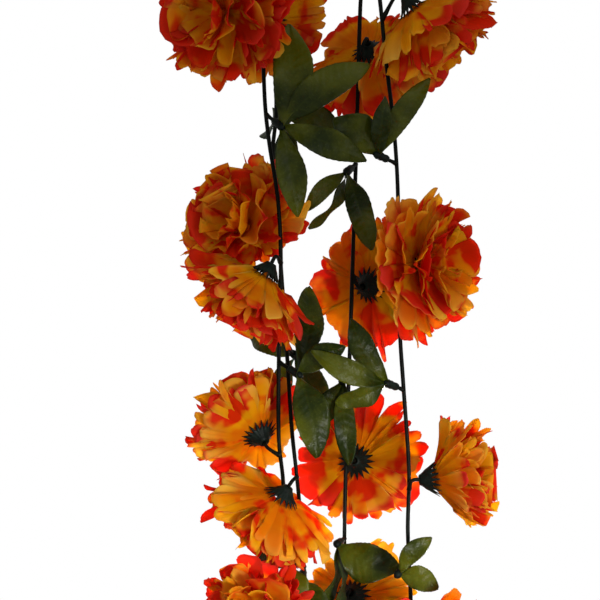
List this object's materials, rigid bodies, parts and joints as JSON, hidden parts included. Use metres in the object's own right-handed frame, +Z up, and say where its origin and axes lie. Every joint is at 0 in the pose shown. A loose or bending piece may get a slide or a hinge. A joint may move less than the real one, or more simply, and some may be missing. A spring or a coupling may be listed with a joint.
{
  "type": "artificial marigold garland",
  "caption": "Hanging garland of ruffled orange fabric marigolds in toothed plastic cups, with fabric leaf sprays, on a moulded vine draped over a rail.",
  "frame": {"origin": "on the crown of the rail that the garland hangs on, midway between the two bends", "axes": "+Z up, +X along the rail, -Y the side seen from in front"},
  "size_m": [0.2091, 0.1528, 0.6244],
  "materials": {
    "vine_plastic": "near-black green moulded plastic stem with a slight sheen",
    "cup_plastic": "dark green-black moulded plastic cup",
    "petal_cloth": "thin polyester cloth, yellow-orange with soft red-orange patches towards the rims",
    "leaf_cloth": "satin olive-green coated cloth with a pressed midrib"
  },
  "bodies": {
    "root": {"vine": "vine_plastic", "cup_a1": "cup_plastic", "cup_a2": "cup_plastic", "cup_a3": "cup_plastic", "cup_a4": "cup_plastic", "cup_b1": "cup_plastic", "cup_b2": "cup_plastic", "cup_b3": "cup_plastic", "cup_b4": "cup_plastic", "cup_c1": "cup_plastic", "cup_c2": "cup_plastic", "cup_c3": "cup_plastic", "cup_c4": "cup_plastic", "cup_d1": "cup_plastic", "cup_d2": "cup_plastic", "cup_d3": "cup_plastic", "cup_d4": "cup_plastic", "bloom_a1": "petal_cloth", "bloom_a2": "petal_cloth", "bloom_a3": "petal_cloth", "bloom_a4": "petal_cloth", "bloom_b1": "petal_cloth", "bloom_b2": "petal_cloth", "bloom_b3": "petal_cloth", "bloom_b4": "petal_cloth", "bloom_c1": "petal_cloth", "bloom_c2": "petal_cloth", "bloom_c3": "petal_cloth", "bloom_c4": "petal_cloth", "bloom_d1": "petal_cloth", "bloom_d2": "petal_cloth", "bloom_d3": "petal_cloth", "bloom_d4": "petal_cloth", "leaf_spray_a1": "leaf_cloth", "leaf_spray_a2": "leaf_cloth", "leaf_spray_a3": "leaf_cloth", "leaf_spray_a4": "leaf_cloth", "leaf_spray_b1": "leaf_cloth", "leaf_spray_b2": "leaf_cloth", "leaf_spray_b3": "leaf_cloth", "leaf_spray_c1": "leaf_cloth", "leaf_spray_c2": "leaf_cloth", "leaf_spray_c3": "leaf_cloth", "leaf_spray_d1": "leaf_cloth", "leaf_spray_d2": "leaf_cloth", "leaf_spray_d3": "leaf_cloth", "leaf_spray_d4": "leaf_cloth", "leaf_spray_fold": "leaf_cloth", "leaf_spray_left_bend": "leaf_cloth", "leaf_spray_right_bend": "leaf_cloth"}
  },
  "joints": []
}
